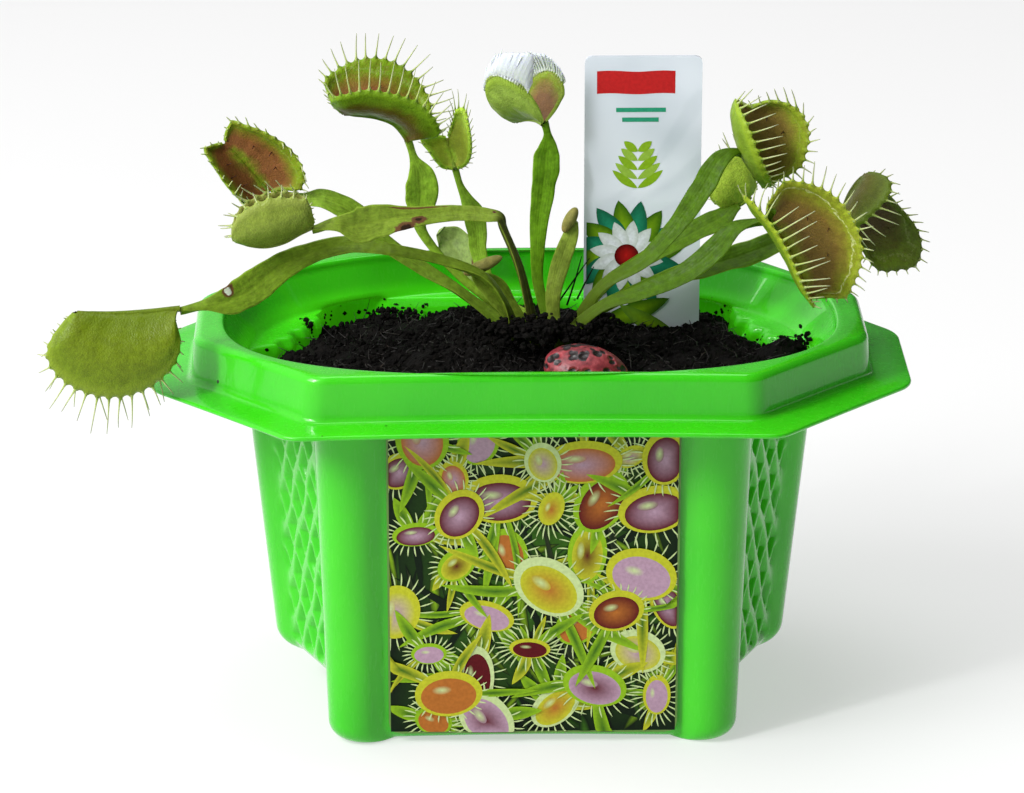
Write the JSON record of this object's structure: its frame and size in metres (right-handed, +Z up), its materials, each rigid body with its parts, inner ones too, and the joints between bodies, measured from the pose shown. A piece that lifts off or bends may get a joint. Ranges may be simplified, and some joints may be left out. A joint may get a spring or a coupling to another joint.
{
  "type": "potted venus flytrap",
  "caption": "Venus flytrap in a small bright green moulded pot with a stepped eight-sided rim, a plant tag, a front label and a spotted stone on dark peat.",
  "frame": {"origin": "centre of the pot's flat underside, on the surface that the pot stands on", "axes": "+X along the pot's long sides, to the right seen from the front; +Y away from the front label; +Z up"},
  "size_m": [0.1719, 0.0924, 0.1334],
  "materials": {
    "pot_plastic": "glossy moulded",
    "peat": "rough, fibrous",
    "label": "printed, satin",
    "tag_plastic": "glossy printed",
    "pebble": "matt, spotted",
    "leaf": "waxy"
  },
  "bodies": {
    "root": {"pot": "pot_plastic", "soil": "peat", "front_label": "label", "plant_tag": "tag_plastic", "pebble": "pebble", "leaf_low_left": "leaf", "leaf_kinked_left": "leaf", "leaf_open_left": "leaf", "leaf_tall_left": "leaf", "leaf_back_left": "leaf", "leaf_pale_old": "leaf", "leaf_young_left": "leaf", "leaf_centre_tall": "leaf", "leaf_centre_small": "leaf", "leaf_right_upper": "leaf", "leaf_right_pale": "leaf", "leaf_right_big": "leaf", "leaf_right_far": "leaf"}
  },
  "joints": []
}
